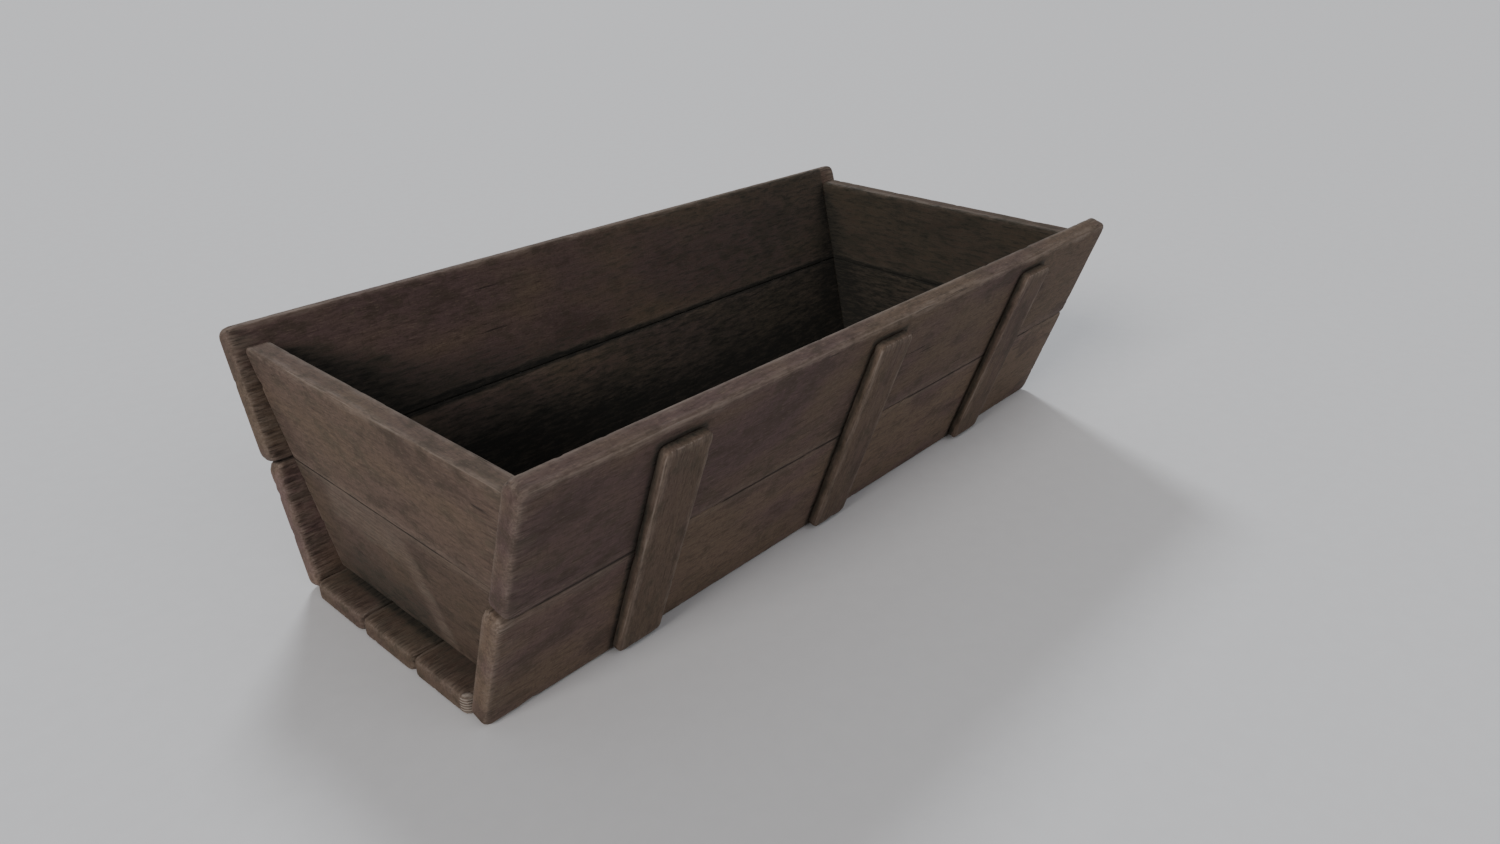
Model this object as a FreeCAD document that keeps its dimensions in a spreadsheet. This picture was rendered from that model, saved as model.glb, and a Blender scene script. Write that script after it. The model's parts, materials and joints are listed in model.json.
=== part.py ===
import FreeCAD, Part
import os
import re
import Sketcher

# The open wooden body of a mine cart: a tub of sawn boards with a plank floor, splayed long sides, ends that
# lean outward between the sides, and battens across the outside of the long sides. Blind wooden pegs hold it.
#
# Millimetres. +X runs along the tub from its front end to its back end, +Y from its near side to its far side
# and +Z up. The origin is in the middle of the underside.
#
# A board is drawn in a frame of its own and placed. Boards that meet take their sizes from the same cells.

SIZES = [
    ("tub_length", 1200, "side boards and floor planks, end to end"),
    ("side_splay", 17.75, "lean of the long sides from upright, degrees"),
    ("side_thickness", 28, "side boards, square to the face"),
    ("side_lower_width", 174, "lower side board, up the slope"),
    ("side_upper_width", 173, "upper side board, up the slope"),
    ("board_gap", 3, "open joint between a lower and an upper board"),
    ("end_lean", 5.05, "lean of the ends from upright, degrees"),
    ("end_thickness", 31, "end boards, square to the face"),
    ("end_setback", 43, "from a side board's end to the end's outer face, at the underside"),
    ("end_drop", 15, "from the sides' outer top edge down to the top of the ends"),
    ("floor_thickness", 26, "floor planks"),
    ("floor_plank_width", 108, "floor planks"),
    ("floor_gap", 3, "open joint between two floor planks"),
    ("floor_side_gap", 1.3, "from the floor's edge to a side's inner bottom edge"),
    ("batten_width", 70, "battens"),
    ("batten_thickness", 15, "battens"),
    ("batten_foot", 8.5, "from a side's bottom edge up to a batten"),
    ("batten_head", 19, "from a batten up to a side's top edge"),
    ("batten_pitch", 372.5, "from one batten to the next"),
    ("batten_shift", 12.5, "from the middle of the tub to the middle batten, towards the front"),
    ("corner_radius", 8, "corners of a board's outline"),
    ("edge_radius", 4, "edges of a board's faces"),
    ("peg_diameter", 12, "pegs at the corners and in the floor"),
    ("batten_peg_diameter", 10, "pegs behind the battens"),
    ("peg_clearance", 0.1, "round a peg in its hole"),
    ("peg_end_room", 1, "past each end of a peg in its hole"),
    ("peg_edge_distance", 42, "from a board's edge to the middle of a peg"),
    ("side_peg_depth", 18, "pegs into the side boards"),
    ("batten_peg_depth", 9, "pegs into the battens"),
    ("corner_peg_depth", 40, "corner pegs into the ends of the end boards"),
    ("floor_peg_depth", 20, "floor pegs into the floor planks"),
    ("sill_peg_depth", 35, "floor pegs into the lower end boards"),
    ("floor_peg_edge_distance", 30, "from a floor plank's edge to the middle of a peg"),
]

ALIAS = re.compile(r"\b(" + "|".join(alias for alias, value, meaning in SIZES) + r")\b")
TOLERANCE = 1e-6

NEAR, FAR = 1, -1
FRONT, BACK = -1, 1

doc = FreeCAD.newDocument("mine_cart_body")
sheet = doc.addObject("Spreadsheet::Sheet", "Sizes")
for row, (alias, value, meaning) in enumerate(SIZES, start=1):
    sheet.set(f"A{row}", meaning)
    sheet.set(f"B{row}", str(value))
    sheet.setAlias(f"B{row}", alias)
doc.recompute()


def bind(item, field, formula):
    """Ties a field of an object to the sheet. A formula uses the aliases above as they stand."""
    item.setExpression(field, ALIAS.sub(r"Sizes.\1", formula))


# Where the boards meet, worked out from the sheet.

FLOOR_HALF = "(1.5 * floor_plank_width + floor_gap)"
SIDE_FOOT_Y = f"({FLOOR_HALF} + floor_side_gap)"
SIDE_FOOT_Z = "(side_thickness * sin(side_splay))"
SIDE_WIDTH = "(side_lower_width + board_gap + side_upper_width)"
SEAM_Z = f"({SIDE_FOOT_Z} + (side_lower_width + board_gap / 2) * cos(side_splay))"
END_TOP_Z = f"({SIDE_WIDTH} * cos(side_splay) - end_drop)"


def side_face_y(height):
    """How far the sides' inner faces are from the middle of the tub at a height."""
    return f"({SIDE_FOOT_Y} + ({height} - {SIDE_FOOT_Z}) * tan(side_splay))"


def end_face_x(height, depth="0"):
    """How far an end is from the middle of the tub at a height, depth being square in from its outer face."""
    outer = f"tub_length / 2 - end_setback + ({height}) * tan(end_lean)"
    return f"({outer} - ({depth}) / cos(end_lean))"


def up_the_side(height):
    """How far up the slope of a side's inner face a height is."""
    return f"((({height}) - {SIDE_FOOT_Z}) / cos(side_splay))"


def on_side(side, along, up, out):
    """A place on a long side: along the tub, up the slope, and out from the inner face. Z points out."""
    across = f"({SIDE_FOOT_Y} + ({up}) * sin(side_splay) + ({out}) * cos(side_splay))"
    height = f"({SIDE_FOOT_Z} + ({up}) * cos(side_splay) - ({out}) * sin(side_splay))"
    turn = f"rotation(vector(0; 0; 1); {90 * (1 - side)}) * rotation(vector(1; 0; 0); 90 + side_splay)"
    return f"placement(vector({along}; {-side} * {across}; {height}); {turn})"


# Shaping a board.

def origin_plane(body, role):
    return next(feature for feature in body.Origin.OriginFeatures if feature.Role == role)


def new_sketch(body, role, name):
    sketch = body.newObject("Sketcher::SketchObject", name)
    sketch.AttachmentSupport = (origin_plane(body, role), "")
    sketch.MapMode = "FlatFace"
    return sketch


def outline(sketch, points, side=1):
    """A closed outline through points, each tied to the sheet. With side -1 it is mirrored across the axis."""
    first = sketch.GeometryCount
    count = len(points)
    rough = [FreeCAD.Vector(side * (10 + 5 * (n in (1, 2))), 10 + 5 * (n > 1), 0) for n in range(count)]
    for n in range(count):
        sketch.addGeometry(Part.LineSegment(rough[n], rough[(n + 1) % count]), False)
    for n in range(count):
        here, after = first + n, first + (n + 1) % count
        sketch.addConstraint(Sketcher.Constraint("Coincident", here, 2, after, 1))
    for n, (across, up) in enumerate(points):
        ends = (-1, 1, first + n, 1) if side > 0 else (first + n, 1, -1, 1)
        number = sketch.addConstraint(Sketcher.Constraint("DistanceX", *ends, rough[n].x * side))
        bind(sketch, f"Constraints[{number}]", across)
        number = sketch.addConstraint(Sketcher.Constraint("DistanceY", -1, 1, first + n, 1, rough[n].y))
        bind(sketch, f"Constraints[{number}]", up)


def rectangle(sketch, length, width):
    """A rectangle with its middle on the upright axis and its foot on the level one."""
    corners = [FreeCAD.Vector(x, y, 0) for x, y in ((-10, 0), (10, 0), (10, 5), (-10, 5))]
    for n in range(4):
        sketch.addGeometry(Part.LineSegment(corners[n], corners[(n + 1) % 4]), False)
    for n in range(4):
        sketch.addConstraint(Sketcher.Constraint("Coincident", n, 2, (n + 1) % 4, 1))
        sketch.addConstraint(Sketcher.Constraint("Vertical" if n % 2 else "Horizontal", n))
    sketch.addConstraint(Sketcher.Constraint("Symmetric", 0, 1, 0, 2, -1, 1))
    number = sketch.addConstraint(Sketcher.Constraint("DistanceX", 0, 1, 0, 2, 20))
    bind(sketch, f"Constraints[{number}]", length)
    number = sketch.addConstraint(Sketcher.Constraint("DistanceY", 1, 1, 1, 2, 5))
    bind(sketch, f"Constraints[{number}]", width)


def edges(feature, wanted):
    """The names of a feature's straight and round edges whose two ends pass a test."""
    names = []
    for number, edge in enumerate(feature.Shape.Edges, start=1):
        start, end = edge.Vertexes[0].Point, edge.Vertexes[-1].Point
        if wanted(start, end):
            names.append(f"Edge{number}")
    return names


def level(a, b):
    return abs(a - b) < TOLERANCE


def fillet(body, name, base, radius, wanted):
    doc.recompute()
    feature = body.newObject("PartDesign::Fillet", name)
    feature.Base = (base, edges(base, wanted))
    bind(feature, "Radius", radius)
    return feature


def board(label, length, width, thickness, backed=False):
    """A board lying on its XY plane: centred along X, from Y 0 to its width, and up Z by its thickness.

    A backed board lies on another piece, so the edges of its lower face stay sharp."""
    body = doc.addObject("PartDesign::Body", f"{label}_blank")
    sketch = new_sketch(body, "XY_Plane", f"{label}_outline")
    rectangle(sketch, length, width)
    pad = body.newObject("PartDesign::Pad", f"{label}_pad")
    pad.Profile = sketch
    bind(pad, "Length", thickness)
    corners = fillet(body, f"{label}_corners", pad, "corner_radius",
                     lambda a, b: level(a.x, b.x) and level(a.y, b.y))
    fillet(body, f"{label}_edges", corners, "edge_radius",
           lambda a, b: level(a.z, b.z) and not (backed and level(a.z, 0)))
    return body


def end_board(label, bottom, top):
    """A board of the back end, between two heights: it leans outward and its ends are sawn to the sides."""
    body = doc.addObject("PartDesign::Body", f"{label}_blank")
    profile = new_sketch(body, "XZ_Plane", f"{label}_profile")
    outline(profile, [
        (end_face_x(bottom, "end_thickness"), bottom),
        (end_face_x(bottom), bottom),
        (end_face_x(top), top),
        (end_face_x(top, "end_thickness"), top),
    ])
    pad = body.newObject("PartDesign::Pad", f"{label}_pad")
    pad.Profile = profile
    pad.SideType = "Symmetric"
    uncut_half = f"({side_face_y(top)} + side_thickness)"
    bind(pad, "Length", f"2 * {uncut_half}")
    doc.recompute()
    uncut_volume = pad.Shape.Volume
    saw = new_sketch(body, "YZ_Plane", f"{label}_saw_lines")
    below, above = f"({bottom} - board_gap)", f"({top} + board_gap)"
    beyond = f"({uncut_half} + side_thickness)"
    for side in (NEAR, FAR):
        outline(saw, [
            (side_face_y(below), below),
            (beyond, below),
            (beyond, above),
            (side_face_y(above), above),
        ], side)
    cut = body.newObject("PartDesign::Pocket", f"{label}_ends")
    cut.Profile = saw
    cut.Type = "ThroughAll"
    cut.SideType = "Symmetric"
    doc.recompute()
    if cut.Shape.Volume > uncut_volume - 1:
        raise ValueError(f"the ends of {label} were not cut")
    fillet(body, f"{label}_edges", cut, "edge_radius",
           lambda a, b: level(a.x, b.x) and level(a.z, b.z))
    return body


# Pegs and their holes.

peg_groups = {}
hole_groups = {}


def cylinder(label, place, start, diameter, length):
    item = doc.addObject("Part::Cylinder", label)
    bind(item, "Radius", f"({diameter}) / 2")
    bind(item, "Height", length)
    bind(item, "Placement", f"{place} * placement(vector(0; 0; {start}); rotation(vector(0; 0; 1); 0))")
    return item


def peg_group(label, diameter, length, places):
    """Pegs at these places, each along its place's Z, and the holes that they are driven into."""
    pegs, holes = [], []
    for number, place in enumerate(places, start=1):
        pegs.append(cylinder(f"{label}_{number}", place, "0", diameter, length))
        holes.append(cylinder(f"{label}_hole_{number}", place, "-peg_end_room",
                              f"{diameter} + 2 * peg_clearance", f"{length} + 2 * peg_end_room"))
    group = doc.addObject("Part::Compound", label)
    group.Links = pegs
    peg_groups[label] = group
    hole_group = doc.addObject("Part::Compound", f"{label}_holes")
    hole_group.Links = holes
    hole_groups[label] = hole_group


def batten_x(place):
    """The middle of a batten, counted -1, 0 and 1 from the front."""
    return f"({place} * batten_pitch - batten_shift)"


def batten_peg_places(side):
    heights = [
        "batten_foot + peg_edge_distance",
        "side_lower_width - peg_edge_distance",
        "side_lower_width + board_gap + peg_edge_distance",
        f"{SIDE_WIDTH} - batten_head - peg_edge_distance",
    ]
    start = "side_thickness - side_peg_depth"
    return [on_side(side, batten_x(place), up, start) for place in (-1, 0, 1) for up in heights]


def corner_peg_places(end):
    heights = [
        f"{up_the_side('floor_thickness')} + peg_edge_distance",
        "side_lower_width - peg_edge_distance",
        "side_lower_width + board_gap + peg_edge_distance",
        f"{up_the_side(END_TOP_Z)} - peg_edge_distance",
    ]
    places = []
    for side in (NEAR, FAR):
        for up in heights:
            middle = f"({SIDE_FOOT_Z} + ({up}) * cos(side_splay) + corner_peg_depth / 2 * sin(side_splay))"
            along = f"{end} * {end_face_x(middle, 'end_thickness / 2')}"
            places.append(on_side(side, along, up, "-corner_peg_depth"))
    return places


def floor_peg_places(end):
    middle = "(floor_thickness + sill_peg_depth / 2)"
    along = f"{end} * {end_face_x(middle, 'end_thickness / 2')}"
    start = "floor_thickness - floor_peg_depth"
    places = []
    for plank in (-1, 0, 1):
        for edge in (-1, 1):
            centre = f"{plank} * (floor_plank_width + floor_gap)"
            across = f"{centre} + {edge} * (floor_plank_width / 2 - floor_peg_edge_distance)"
            places.append(f"placement(vector({along}; {across}; {start}); rotation(vector(0; 0; 1); 0))")
    return places


for side_name, side in (("near", NEAR), ("far", FAR)):
    peg_group(f"{side_name}_batten_pegs", "batten_peg_diameter", "(side_peg_depth + batten_peg_depth)",
              batten_peg_places(side))
for end_name, end in (("front", FRONT), ("back", BACK)):
    peg_group(f"{end_name}_corner_pegs", "peg_diameter", "(side_peg_depth + corner_peg_depth)",
              corner_peg_places(end))
    peg_group(f"{end_name}_floor_pegs", "peg_diameter", "(floor_peg_depth + sill_peg_depth)",
              floor_peg_places(end))

# The pieces, each board with its holes drilled.

pieces = dict(peg_groups)


def drill(label, blank, groups):
    """The finished board: its blank with the holes of the peg groups that enter it."""
    holes = doc.addObject("Part::Compound", f"{label}_holes")
    holes.Links = [hole_groups[group] for group in groups]
    piece = doc.addObject("Part::Cut", label)
    piece.Base = blank
    piece.Tool = holes
    pieces[label] = piece


for name, plank in (("near", -1), ("middle", 0), ("far", 1)):
    label = f"{name}_floor_plank"
    blank = board(label, "tub_length", "floor_plank_width", "floor_thickness")
    across = f"{plank} * (floor_plank_width + floor_gap) - floor_plank_width / 2"
    bind(blank, "Placement", f"placement(vector(0; {across}; 0); rotation(vector(0; 0; 1); 0))")
    drill(label, blank, ["front_floor_pegs", "back_floor_pegs"])

for name, side in (("near", NEAR), ("far", FAR)):
    corner_groups = ["front_corner_pegs", "back_corner_pegs"]
    batten_group = f"{name}_batten_pegs"
    for level_name, width, up in (("lower", "side_lower_width", "0"),
                                  ("upper", "side_upper_width", "side_lower_width + board_gap")):
        label = f"{name}_{level_name}_side_board"
        blank = board(label, "tub_length", width, "side_thickness")
        bind(blank, "Placement", on_side(side, "0", up, "0"))
        drill(label, blank, [batten_group] + corner_groups)
    for place_name, place in (("front", -1), ("middle", 0), ("back", 1)):
        label = f"{name}_{place_name}_batten"
        length = f"{SIDE_WIDTH} - batten_foot - batten_head"
        blank = board(label, "batten_width", length, "batten_thickness", backed=True)
        bind(blank, "Placement", on_side(side, batten_x(place), "batten_foot", "side_thickness"))
        drill(label, blank, [batten_group])

for name, end in (("front", FRONT), ("back", BACK)):
    for level_name, bottom, top in (("lower", "floor_thickness", f"({SEAM_Z} - board_gap / 2)"),
                                    ("upper", f"({SEAM_Z} + board_gap / 2)", END_TOP_Z)):
        label = f"{name}_{level_name}_end_board"
        blank = end_board(label, bottom, top)
        bind(blank, "Placement", f"placement(vector(0; 0; 0); rotation(vector(0; 0; 1); {90 * (1 - end)}))")
        drill(label, blank, [f"{name}_corner_pegs", f"{name}_floor_pegs"])

doc.recompute()

# Nothing is written unless every object is sound.

for item in doc.Objects:
    if "Invalid" in item.State or "Error" in item.State:
        raise ValueError(f"{item.Label} failed: {item.State}")
for label, piece in pieces.items():
    if piece.Shape.isNull() or not piece.Shape.isValid():
        raise ValueError(f"{label} has no sound shape")
    if label not in peg_groups and piece.Shape.Volume > piece.Base.Shape.Volume - 1:
        raise ValueError(f"no hole was drilled in {label}")

os.makedirs("parts", exist_ok=True)
for label, piece in pieces.items():
    piece.Shape.exportStep(f"parts/{label}.step")
    box = piece.Shape.optimalBoundingBox()
    print(label, round(box.XLength, 1), round(box.YLength, 1), round(box.ZLength, 1), len(piece.Shape.Solids))
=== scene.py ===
# %% [markdown]
# # The worn wooden body of a mine cart
#
# The real thing is a plain open tub: three floor planks, two boards to each splayed side, two boards to
# each end, and battens pegged across the sides. There is no paint and no metal on it, so everything that
# makes it look real is in the wood: its grain, its worn edges, the dirt that has settled in it, and the
# shade and highlights painted into its colour.
#
# The joiner's model comes in first, as a frame that is never moved.

# %% Load the joiner's model
import json
import math
import random

import bmesh
import bpy
import numpy as np
from mathutils import Matrix, Quaternion, Vector

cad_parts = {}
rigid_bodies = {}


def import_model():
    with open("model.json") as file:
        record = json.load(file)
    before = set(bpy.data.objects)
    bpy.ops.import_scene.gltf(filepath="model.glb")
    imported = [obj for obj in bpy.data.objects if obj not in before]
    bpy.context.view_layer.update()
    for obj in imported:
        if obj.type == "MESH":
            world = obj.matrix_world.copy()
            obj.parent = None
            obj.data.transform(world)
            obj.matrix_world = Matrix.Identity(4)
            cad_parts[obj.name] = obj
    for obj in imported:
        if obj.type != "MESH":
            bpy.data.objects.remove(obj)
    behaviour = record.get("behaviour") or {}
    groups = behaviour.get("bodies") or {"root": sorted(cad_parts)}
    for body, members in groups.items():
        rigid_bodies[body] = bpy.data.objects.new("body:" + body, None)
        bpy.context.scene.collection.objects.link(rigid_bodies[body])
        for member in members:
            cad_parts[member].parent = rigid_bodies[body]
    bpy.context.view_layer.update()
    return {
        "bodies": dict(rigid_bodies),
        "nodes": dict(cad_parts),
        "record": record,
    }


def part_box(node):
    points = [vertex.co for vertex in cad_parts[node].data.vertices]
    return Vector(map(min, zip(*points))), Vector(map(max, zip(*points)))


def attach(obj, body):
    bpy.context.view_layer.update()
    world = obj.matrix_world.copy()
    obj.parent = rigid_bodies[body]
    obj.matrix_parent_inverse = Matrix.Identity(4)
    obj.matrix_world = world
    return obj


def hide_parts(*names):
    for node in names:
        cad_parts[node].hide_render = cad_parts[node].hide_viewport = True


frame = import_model()

# %% [markdown]
# ## Where things are
#
# The size of the floor planks and the width of a batten are read from the joiner's boards. What the
# leaning boards measure is repeated here, because the box of a leaning board doesn't give it directly.

# %% Sizes of the tub
SIDE_SPLAY = math.radians(17.75)
END_LEAN = math.radians(5.05)
SIDE_THICKNESS = 0.028
END_THICKNESS = 0.031
BATTEN_THICKNESS = 0.015
SIDE_LOWER_WIDTH = 0.174
SIDE_UPPER_WIDTH = 0.173
BOARD_GAP = 0.003
END_SETBACK = 0.043
END_DROP = 0.015
FLOOR_SIDE_GAP = 0.0013
BATTEN_FOOT = 0.0085
BATTEN_HEAD = 0.019

low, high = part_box("far_floor_plank")
TUB_LENGTH = high.x - low.x
FLOOR_HALF = high.y
PLANK_WIDTH = high.y - low.y
FLOOR_TOP = high.z
low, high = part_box("near_middle_batten")
BATTEN_WIDTH = high.x - low.x

SIDE_WIDTH = SIDE_LOWER_WIDTH + BOARD_GAP + SIDE_UPPER_WIDTH
SIDE_FOOT_Y = FLOOR_HALF + FLOOR_SIDE_GAP
SIDE_FOOT_Z = SIDE_THICKNESS * math.sin(SIDE_SPLAY)
SEAM_UP = SIDE_LOWER_WIDTH + BOARD_GAP / 2
SEAM_Z = SIDE_FOOT_Z + SEAM_UP * math.cos(SIDE_SPLAY)
END_TOP_Z = SIDE_WIDTH * math.cos(SIDE_SPLAY) - END_DROP
print("side boards meet", round(SEAM_Z, 3), "m up, and the ends stop", round(END_TOP_Z, 3), "m up")

# %% [markdown]
# ## Four benches
#
# A board is easiest to shape lying flat: length along X, width along Y, outer face up. Each side and each
# end of the tub is a bench that leans, so a matrix carries a flat board to its place. The far side is the
# near side turned half way round, and the front end is the back end turned half way round.

# %% From a flat board to its place
HALF_TURN = Matrix.Rotation(math.pi, 4, "Z")


def side_bench(side):
    """Near is 1, far is -1. X along the tub, Y up the slope and Z out, from the inner bottom edge."""
    foot = Matrix.Translation((0, -SIDE_FOOT_Y, SIDE_FOOT_Z))
    near = foot @ Matrix.Rotation(math.pi / 2 + SIDE_SPLAY, 4, "X")
    return near if side > 0 else HALF_TURN @ near


def end_bench(end):
    """Back is 1, front is -1. X across the tub, Y up and Z out, from the outer face at the underside."""
    up = Vector((math.sin(END_LEAN), 0, math.cos(END_LEAN)))
    out = Vector((math.cos(END_LEAN), 0, -math.sin(END_LEAN)))
    across = up.cross(out)
    back = Matrix.Translation((TUB_LENGTH / 2 - END_SETBACK, 0, 0))
    back = back @ Matrix((across, up, out)).transposed().to_4x4()
    return back if end > 0 else HALF_TURN @ back


print("side bench leans", round(math.degrees(SIDE_SPLAY), 2), "degrees")

# %% [markdown]
# ## The inside of the tub
#
# Saw cuts and dirt both follow the planes of the inside: two sides, two ends and the floor. A plane is a
# point and a normal that points out of the tub.

# %% Planes of the inside
def side_plane(side):
    bench = side_bench(side)
    return bench.translation, bench.to_3x3() @ Vector((0, 0, 1))


def end_plane(end):
    bench = end_bench(end)
    return bench @ Vector((0, 0, -END_THICKNESS)), bench.to_3x3() @ Vector((0, 0, 1))


FLOOR_PLANE = (Vector((0, 0, FLOOR_TOP)), Vector((0, 0, -1)))
INSIDE_PLANES = [side_plane(1), side_plane(-1), end_plane(1), end_plane(-1), FLOOR_PLANE]


def depth_below(points, plane):
    """How far each point is on the inner side of a plane, in metres."""
    point, normal = plane
    return (np.array(point) - points) @ np.array(normal)


print(len(INSIDE_PLANES), "planes bound the load")

# %% [markdown]
# ## Sawing a board
#
# A board starts as a cube of the right size. Its ends, top or foot are sawn with Bisect where they meet
# another board at an angle, and bevels take off the corners and then the edges. Where two boards shut
# against each other the edge stays nearly square, or the seam would be as wide as a finger.
#
# The voxel remesh that follows gives an even skin of small faces to wear down. The board is squeezed to
# half its length before the remesh and stretched after it, so that the faces are long the way that wood
# is worn: along the grain.

# %% Shape a board on the flat
VOXEL = 0.0019
SQUEEZE = 0.5
SEAM_BAND = 0.004
TIGHT_EDGE = 0.0014
CORNER_STEPS = 4
EDGE_STEPS = 3
TIGHT_STEPS = 2
SHARP = math.radians(40)


def pick(board, wanted):
    """In edit mode, selects only the edges that pass a test."""
    mesh = bmesh.from_edit_mesh(board.data)
    for group in (mesh.verts, mesh.edges, mesh.faces):
        for element in group:
            element.select = False
    for line in mesh.edges:
        if wanted(line):
            line.select_set(True)
    mesh.select_flush_mode()
    bmesh.update_edit_mesh(board.data)


def is_corner(line):
    """An edge of the mesh that runs through the thickness of the board."""
    first, second = (vertex.co for vertex in line.verts)
    return abs(first.z - second.z) > 0.9 * (first - second).length


def is_sharp(line):
    return line.calc_face_angle(0) > SHARP


def blank(name, length, width, thickness, cuts=(), corner=0.008, edge=0.0045, tight=0, square_seam=False):
    """A flat board centred on the origin. Each cut is a plane that it is sawn along, a point and a normal.
    Corner and edge are how much is taken off. Tight is 1 or -1 where the top or the foot shuts against the
    next board, and a square seam keeps its corners there."""
    bpy.ops.object.select_all(action="DESELECT")
    bpy.ops.mesh.primitive_cube_add(size=1)
    board = bpy.context.object
    board.name = name
    bpy.ops.object.mode_set(mode="EDIT")
    bpy.ops.mesh.select_all(action="SELECT")
    bpy.ops.transform.resize(value=(length, width, thickness))
    for point, normal in cuts:
        bpy.ops.mesh.select_all(action="SELECT")
        bpy.ops.mesh.bisect(plane_co=point, plane_no=normal, use_fill=True, clear_outer=True)
    bpy.ops.mesh.select_mode(type="EDGE")
    top = max(tight * vertex.co.y for vertex in bmesh.from_edit_mesh(board.data).verts)

    def is_tight(line):
        return tight != 0 and all(tight * vertex.co.y > top - SEAM_BAND for vertex in line.verts)

    pick(board, lambda line: is_corner(line) and not (square_seam and is_tight(line)))
    bpy.ops.mesh.bevel(offset=corner, segments=CORNER_STEPS)
    if tight:
        pick(board, lambda line: is_sharp(line) and is_tight(line))
        bpy.ops.mesh.bevel(offset=TIGHT_EDGE, segments=TIGHT_STEPS)
    pick(board, lambda line: is_sharp(line) and not is_tight(line))
    bpy.ops.mesh.bevel(offset=edge, segments=EDGE_STEPS)

    bpy.ops.mesh.select_all(action="SELECT")
    bpy.ops.transform.resize(value=(SQUEEZE, 1, 1))
    bpy.ops.object.mode_set(mode="OBJECT")
    remesh = board.modifiers.new("even skin", "REMESH")
    remesh.mode = "VOXEL"
    remesh.voxel_size = VOXEL
    bpy.ops.object.modifier_apply(modifier=remesh.name)
    bpy.ops.object.mode_set(mode="EDIT")
    bpy.ops.mesh.select_all(action="SELECT")
    bpy.ops.transform.resize(value=(1 / SQUEEZE, 1, 1))
    bpy.ops.object.mode_set(mode="OBJECT")
    return board


print("a skin of faces", round(VOXEL / SQUEEZE * 1000, 1), "mm long and", VOXEL * 1000, "mm wide")

# %% [markdown]
# ## What the wood remembers
#
# Grain, worn edges and splits belong to the board and not to the place where it stands. So while the
# board still lies flat, attributes are written on its points: where each point is in the tree, and how
# far it is from the nearest edge, from the seam and from the nearest sawn end. The finish reads them
# later.

# %% Write the wood's own coordinates on a board
FAR_AWAY = 1.0
TOP_ROW, FOOT_ROW = 2, 3


def points_of(board):
    flat = np.empty(len(board.data.vertices) * 3)
    board.data.vertices.foreach_get("co", flat)
    return flat.reshape(-1, 3)


def write(board, name, values):
    kind, field = ("FLOAT", "value") if values.ndim == 1 else ("FLOAT_VECTOR", "vector")
    attribute = board.data.attributes.new(name, kind, "POINT")
    attribute.data.foreach_set(field, values.astype(np.float32).ravel())


def remember(board, ends, edges, faces, tight, chance):
    """Ends, edges (the top first) and faces are pairs of the board's planes. A tight edge is a seam, which
    is never rubbed, so it isn't an edge here. Returns how far each point is from an edge and an end."""
    points = points_of(board)
    heart = np.array([chance.uniform(-3, 3), chance.uniform(-0.09, 0.09), chance.uniform(0.03, 0.12)])
    to_planes = np.array([depth_below(points, plane) for plane in (*ends, *edges, *faces)])
    to_end = to_planes[:2].min(axis=0)
    to_seam = np.full(len(points), FAR_AWAY)
    if tight:
        seam_row = TOP_ROW if tight > 0 else FOOT_ROW
        to_seam = to_planes[seam_row].copy()
        to_planes[seam_row] = FAR_AWAY
    to_edge = np.sort(to_planes, axis=0)[1]
    write(board, "tree", points + heart)
    write(board, "edge", to_edge)
    write(board, "seam", to_seam)
    write(board, "butt", to_end)
    return to_edge, to_end


print("an edge is where two faces are near, so the second nearest plane is the one that counts")

# %% [markdown]
# ## Wearing a board
#
# Boards wear where they are knocked: along their edges and most of all at their corners. Rain swells the
# grain on their faces, and their ends dry first and open in fine checks. Displace does all of it, fed by
# cloud textures. The textures are read through an empty that is stretched along the board, so that the
# hollows run with the grain, and vertex groups keep knocks near the edges and checks near the ends.

# %% Wear a board down
WORN_BAND = 0.013
CHECK_LENGTH = 0.045
WEIGHT_STEPS = 16


def weigh(board, name, weights):
    """A vertex group with these weights, in steps."""
    group = board.vertex_groups.new(name=name)
    steps = np.rint(np.clip(weights, 0, 1) * WEIGHT_STEPS).astype(int)
    for step in range(1, WEIGHT_STEPS + 1):
        group.add(np.flatnonzero(steps == step).tolist(), step / WEIGHT_STEPS, "REPLACE")


def clouds(name, size, contrast=1.0, brightness=1.0, depth=2):
    texture = bpy.data.textures.new(name, "CLOUDS")
    texture.noise_scale = size
    texture.noise_depth = depth
    texture.contrast = contrast
    texture.intensity = brightness
    texture.use_clamp = True
    return texture


# Each step: texture, stretch along the grain, strength in metres, level that moves nothing, vertex group.
WEAR = [
    (clouds("slow bends", 0.30), 2, 0.0008, 0.5, ""),
    (clouds("rubbed edges", 0.070, depth=1), 2, 0.0008, 0.75, "edges"),
    (clouds("knocks", 0.016, contrast=4.0, brightness=0.0), 1.5, -0.0024, 0.0, "edges"),
    (clouds("raised grain", 0.0045, depth=1), 6, 0.00040, 0.5, "faces"),
    (clouds("open checks", 0.0038, contrast=4.0, brightness=0.1, depth=0), 6, -0.0016, 0.0, "checked ends"),
]


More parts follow.
